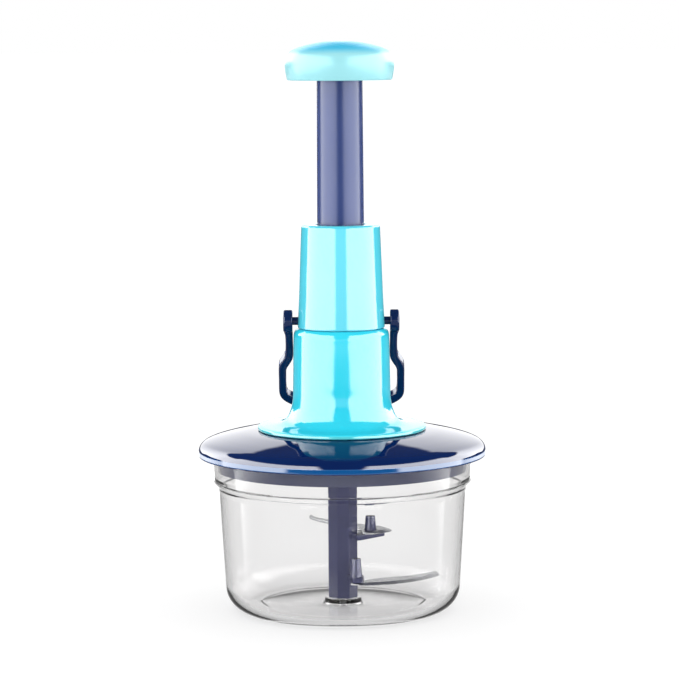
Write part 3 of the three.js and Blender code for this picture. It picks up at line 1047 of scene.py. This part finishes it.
socket = prism(
    "socket",
    [(6.3 / math.cos(math.pi / 6) * math.cos(i * math.pi / 3), 6.3 / math.cos(math.pi / 6) * math.sin(i * math.pi / 3)) for i in range(6)],
    67.8,
    82,
)
combine(column, [socket, rod("bore", 5.0, 8.9, 82, 72), rod("bore", 1.8, 4, 12, 48)])
column.name = "blade_shaft_gloss"
finish_piece(column, "blades", NAVY_SHAFT, ["blade_shaft"], 34)


# ================================================================ blades
def resample(line, count):
    pts = [Vector(q) for q in line]
    lengths = [0.0]
    for a, b in zip(pts, pts[1:]):
        lengths.append(lengths[-1] + (b - a).length)
    out, k = [], 0
    for i in range(count):
        s = lengths[-1] * i / (count - 1)
        while k < len(pts) - 2 and lengths[k + 1] < s:
            k += 1
        span = max(lengths[k + 1] - lengths[k], 1e-9)
        out.append(pts[k].lerp(pts[k + 1], (s - lengths[k]) / span))
    return out


def ground_blade(name, edge, back, low, high, grind=3.0, keen=0.12, top_grind=True):
    """A flat blade lofted between its cutting edge and its back, hollow of nothing, ground to a
    keen edge from one face, with a slightly eased back and a rounded tip."""
    count = 72
    e, b = resample(spline(edge, 8), count), resample(spline(back, 8), count)
    verts, faces = [], []
    for i in range(count):
        t = i / (count - 1)
        a, c = e[i], b[i]
        if t > 0.97:
            squeeze = math.sqrt(max(0.0, 1 - ((t - 0.97) / 0.03) ** 2)) * 0.55 + 0.45
            mid = (a + c) / 2
            a, c = mid + (a - mid) * squeeze, mid + (c - mid) * squeeze
        width = (a - c).length
        run = min(grind, width * 0.45) * min(1.0, t / 0.12)
        shoulder = a + (c - a) * (run / max(width, 1e-6))
        ease = c + (a - c) * min(0.12 / max(width, 1e-6), 0.2)
        tip = high - (high - low - keen) * min(1.0, t / 0.12)
        if top_grind:
            section = [(a, low), (a, tip), (shoulder, high), (ease, high), (c, high - 0.12), (c, low + 0.12), (ease, low)]
        else:
            lift = low + (high - low - keen) * min(1.0, t / 0.12)
            section = [(a, high), (a, lift), (shoulder, low), (ease, low), (c, low + 0.12), (c, high - 0.12), (ease, high)]
        verts += [(q.x, q.y, z) for q, z in section]
    n = 7
    for i in range(count - 1):
        for k in range(n):
            m = (k + 1) % n
            faces.append([i * n + k, i * n + m, (i + 1) * n + m, (i + 1) * n + k])
    faces.append(list(range(n))[::-1])
    faces.append([(count - 1) * n + k for k in range(n)])
    return make(name, verts, faces)


lower_blade = ground_blade(
    "lower_blade_steel",
    [
        (3.6, -15.0),
        (9.0, -16.0),
        (16.0, -15.2),
        (22.9, -13.2),
        (28.2, -10.8),
        (33.0, -7.6),
        (37.4, -4.0),
        (41.4, 0.2),
        (44.8, 4.4),
        (47.2, 8.6),
        (47.5, 12.2),
    ],
    [
        (4.4, -9.8),
        (8.6, -8.6),
        (12.4, -6.0),
        (17.0, -2.6),
        (23.0, 0.2),
        (30.4, 3.0),
        (37.0, 6.8),
        (41.4, 10.4),
        (45.2, 14.2),
    ],
    13.9,
    14.9,
)
finish_piece(lower_blade, "blades", BLADE_STEEL, ["lower_blade"], 12)

upper_blade = ground_blade(
    "upper_blade_steel",
    [
        (9.6, -6.6),
        (14.0, -7.0),
        (20.0, -3.6),
        (23.6, 1.0),
        (23.0, 6.4),
        (18.8, 11.4),
        (12.6, 15.0),
        (7.0, 18.2),
        (0.6, 23.6),
        (-7.0, 31.0),
        (-12.4, 37.4),
        (-15.4, 43.4),
    ],
    [
        (9.2, 1.0),
        (8.6, 6.2),
        (5.6, 10.2),
        (0.6, 14.0),
        (-4.4, 18.6),
        (-9.6, 25.0),
        (-14.4, 32.0),
        (-16.6, 38.0),
        (-16.2, 42.6),
    ],
    37.05,
    38.05,
)
combine(upper_blade, [rod("hole", 3.4, 36, 40, 64, UPPER_PEG)])
finish_piece(upper_blade, "blades", BLADE_STEEL, ["upper_blade"], 12)

# ================================================================ bail
PIVOT_Z, LEAN, DEPTH = 139.8, 35.0, 5.6
OUTER = [
    (27.8, -1.0),
    (27.8, 3.6),
    (27.6, 5.4),
    (27.1, 7.2),
    (27.1, 19.0),
    (27.35, 20.7),
    (27.9, 22.0),
    (29.4, 24.8),
    (30.3, 27.2),
    (30.55, 29.2),
    (30.6, 36.0),
    (30.6, 44.0),
    (30.3, 46.0),
    (29.4, 48.2),
    (27.5, 50.3),
    (24.4, 52.4),
    (20.0, 54.2),
    (14.0, 55.7),
    (7.0, 56.7),
    (0, 57.0),
]
INNER = [
    (23.35, -1.0),
    (23.35, 8.0),
    (23.35, 20.6),
    (23.7, 22.6),
    (24.6, 24.8),
    (26.2, 27.8),
    (26.75, 29.6),
    (26.85, 31.5),
    (26.85, 42.8),
    (26.4, 45.0),
    (25.6, 46.1),
    (23.9, 47.3),
    (20.0, 49.3),
    (14.0, 51.2),
    (7.0, 52.35),
    (0, 52.7),
]


def bail_mesh():
    outer, inner = spline(OUTER, 4), spline(INNER, 4)
    count = 150
    o, n = resample(outer, count), resample(inner, count)
    o = o + [Vector((-q.x, q.y)) for q in reversed(o[:-1])]
    n = n + [Vector((-q.x, q.y)) for q in reversed(n[:-1])]
    verts, faces = [], []
    # A rounded-rectangle section carried along the arms between the two outlines.
    section = tidy(
        rounded([(0, -DEPTH / 2, 1.1), (1, -DEPTH / 2, 1.1), (1, DEPTH / 2, 1.1), (0, DEPTH / 2, 1.1)], 4, closed=True)
    )
    size = 0
    for a, b in zip(o, n):
        width = (a - b).length
        line = tidy(
            rounded(
                [(0, -DEPTH / 2, 1.1), (width, -DEPTH / 2, 1.1), (width, DEPTH / 2, 1.1), (0, DEPTH / 2, 1.1)],
                4,
                closed=True,
            ),
            1e-7,
        )
        size = len(line)
        along = (b - a).normalized()
        for u, y in line:
            q = a + along * u
            verts.append((q.x, y, -q.y))
    rings = len(o)
    for i in range(rings - 1):
        for k in range(size):
            m = (k + 1) % size
            faces.append([i * size + k, i * size + m, (i + 1) * size + m, (i + 1) * size + k])
    faces.append(list(range(size))[::-1])
    faces.append([(rings - 1) * size + k for k in range(size)])
    body = make("bail_gloss", verts, faces)
    parts = []
    for side in (-1, 1):
        eye = lathe("eye", rounded([(0, 23.35), (5.4, 23.35, 0.6), (5.4, 27.85, 0.9), (0, 27.85)]), 96)
        stub = lathe("stub", rounded([(0, 18.6), (1.95, 18.6, 0.4), (1.95, 24.4), (0, 24.4)]), 48)
        for part in (eye, stub):
            transform(part, Matrix.Rotation(math.radians(90 * side), 4, "Y"))
            parts.append(part)
    combine(body, parts, "UNION")
    return body


bail = bail_mesh()
transform(
    bail,
    Matrix.Translation((0, 0, PIVOT_Z * MM)) @ Matrix.Rotation(math.radians(LEAN), 4, "X"),
)
finish_piece(bail, "bail", NAVY_BAIL, ["bail"], 34)


# ================================================================ floor
def stage_floor():
    obj = make("floor", [(-50000, -50000, 0), (50000, -50000, 0), (50000, 50000, 0), (-50000, 50000, 0)], [[0, 1, 2, 3]])
    obj.location.z = -0.00002
    t = Tree("pale_floor")
    t.set(Base_Color=rgb(0.36, 0.36, 0.36), Roughness=0.6, Specular_IOR_Level=0.0)
    t.set(Emission_Color=rgb(1, 1, 1), Emission_Strength=0.69)
    obj.data.materials.append(t.material)
    obj.visible_glossy = False


stage_floor()


# ================================================================ studio light
# Two tall soft boxes left and right, turned towards the object, a low white wall behind it and a
# dim room elsewhere. Everything is soft and far away.
def studio():
    world = bpy.data.worlds.new("studio")
    SCENE.world = world
    world.use_nodes = True
    nt = world.node_tree
    nt.nodes.clear()

    def calc(operation, a, b=None):
        n = nt.nodes.new("ShaderNodeMath")
        n.operation = operation
        for s, v in zip(n.inputs, (a, b)):
            if v is None:
                continue
            if isinstance(v, (int, float)):
                s.default_value = v
            else:
                nt.links.new(v, s)
        return n.outputs[0]

    def step(value, low, high):
        n = nt.nodes.new("ShaderNodeMapRange")
        n.interpolation_type = "SMOOTHSTEP"
        n.inputs["From Min"].default_value = low
        n.inputs["From Max"].default_value = high
        nt.links.new(value, n.inputs["Value"])
        return n.outputs["Result"]

    def band(value, a, b, c, d):
        return calc("SUBTRACT", step(value, a, b), step(value, c, d))

    coord = nt.nodes.new("ShaderNodeTexCoord")
    axes = nt.nodes.new("ShaderNodeSeparateXYZ")
    nt.links.new(coord.outputs["Generated"], axes.inputs[0])
    x, y, z = axes.outputs
    azimuth = calc("MULTIPLY", calc("ABSOLUTE", calc("ARCTAN2", x, calc("MULTIPLY", y, -1.0))), 180 / math.pi)
    height = calc("MULTIPLY", calc("ARCSINE", z), 180 / math.pi)

    # The soft boxes come closest together just under the horizon and lean apart above and below.
    def clamp(value, low, high):
        return calc("MINIMUM", calc("MAXIMUM", value, low), high)

    path = nt.nodes.new("ShaderNodeLightPath")
    inside = calc("MINIMUM", path.outputs["Transmission Depth"], 1.0)
    below = clamp(calc("SUBTRACT", -3.0, height), 0.0, 12.0)
    above = clamp(calc("SUBTRACT", height, 5.0), 0.0, 35.0)
    lean = calc("ADD", calc("MULTIPLY", below, 2.2), calc("MULTIPLY", above, 0.2))
    lean = calc("ADD", lean, calc("MULTIPLY", band(height, -9.6, -9.1, -7.4, -5.4), 17.0))
    near = calc("SUBTRACT", azimuth, lean)
    boxes = calc("MULTIPLY", calc("MULTIPLY", step(near, 12, 19), calc("SUBTRACT", 1.0, step(azimuth, 108, 114))), band(height, -14.8, -12.4, 38, 46))
    # The wall joins them behind the object, dimmer and lower towards the middle.
    top = calc("SUBTRACT", height, clamp(calc("SUBTRACT", 180.0, azimuth), 0.0, 14.0))
    wall = calc("MULTIPLY", step(azimuth, 108, 114), calc("MULTIPLY", step(calc("ADD", height, calc("MULTIPLY", step(azimuth, 136, 152), 5.75)), 5.0, 6.6), calc("SUBTRACT", 1.0, step(top, 20, 22.2))))
    fade = calc("SUBTRACT", 8.0, calc("MULTIPLY", step(azimuth, 122, 168), 6.2))
    wall = calc("MULTIPLY", calc("MULTIPLY", wall, fade), calc("SUBTRACT", 1.0, calc("MULTIPLY", inside, 0.75)))
    table = calc("MULTIPLY", step(azimuth, 110, 120), band(height, -70, -50, -5.2, -3.8))
    table = calc("MULTIPLY", table, calc("ADD", 0.22, calc("MULTIPLY", step(azimuth, 158, 176), 0.73)))
    front = calc("MULTIPLY", calc("SUBTRACT", 1.0, step(azimuth, 110, 120)), band(height, -80, -60, -16.5, -13))
    table = calc("ADD", table, calc("MULTIPLY", front, 0.7))
    gap = calc("ADD", band(height, -14.8, -12.4, -9.6, -8.9), band(height, -4.5, -3.7, 5, 10))
    gap = calc("MULTIPLY", calc("SUBTRACT", 1.0, step(near, 12, 19)), gap)
    edge = calc("MULTIPLY", calc("MULTIPLY", step(azimuth, 108, 114), band(height, -9.8, -9.4, -8.0, -7.4)), fade)
    glossy = calc("ADD", calc("MULTIPLY", boxes, 8.8), calc("ADD", calc("MULTIPLY", edge, 0.62), 0.07))
    glossy = calc("ADD", glossy, wall)
    glossy = calc("ADD", glossy, table)
    glossy = calc("ADD", glossy, calc("MULTIPLY", gap, 1.25))

    def choose(flag, yes, no):
        a = calc("MULTIPLY", flag, yes)
        b = calc("MULTIPLY", calc("SUBTRACT", 1.0, flag), no)
        return calc("ADD", a, b)

    # What is seen straight or through clear plastic is the white sweep; what a gloss surface
    # mirrors is the studio; what lights a matt surface is even.
    scattered = calc("MINIMUM", path.outputs["Diffuse Depth"], 1.0)
    mirrored = calc("MINIMUM", path.outputs["Glossy Depth"], 1.0)
    sweep = calc("SUBTRACT", 1.0, calc("MULTIPLY", inside, calc("MULTIPLY", calc("SUBTRACT", 1.0, step(azimuth, 138, 173)), 0.6)))
    sweep = calc("SUBTRACT", sweep, calc("MULTIPLY", inside, calc("MULTIPLY", step(height, 16, 34), 0.75)))
    sweep = clamp(sweep, 0.05, 1.0)
    glossy = calc("ADD", glossy, calc("MULTIPLY", inside, 0.3))
    matt = calc("SUBTRACT", 1.08, calc("MULTIPLY", mirrored, 0.72))
    value = choose(scattered, matt, choose(mirrored, glossy, sweep))
    shader = nt.nodes.new("ShaderNodeBackground")
    shader.inputs["Color"].default_value = (1, 1, 1, 1)
    nt.links.new(value, shader.inputs["Strength"])
    out = nt.nodes.new("ShaderNodeOutputWorld")
    nt.links.new(shader.outputs[0], out.inputs["Surface"])
    world.cycles.sampling_method = "NONE"


studio()
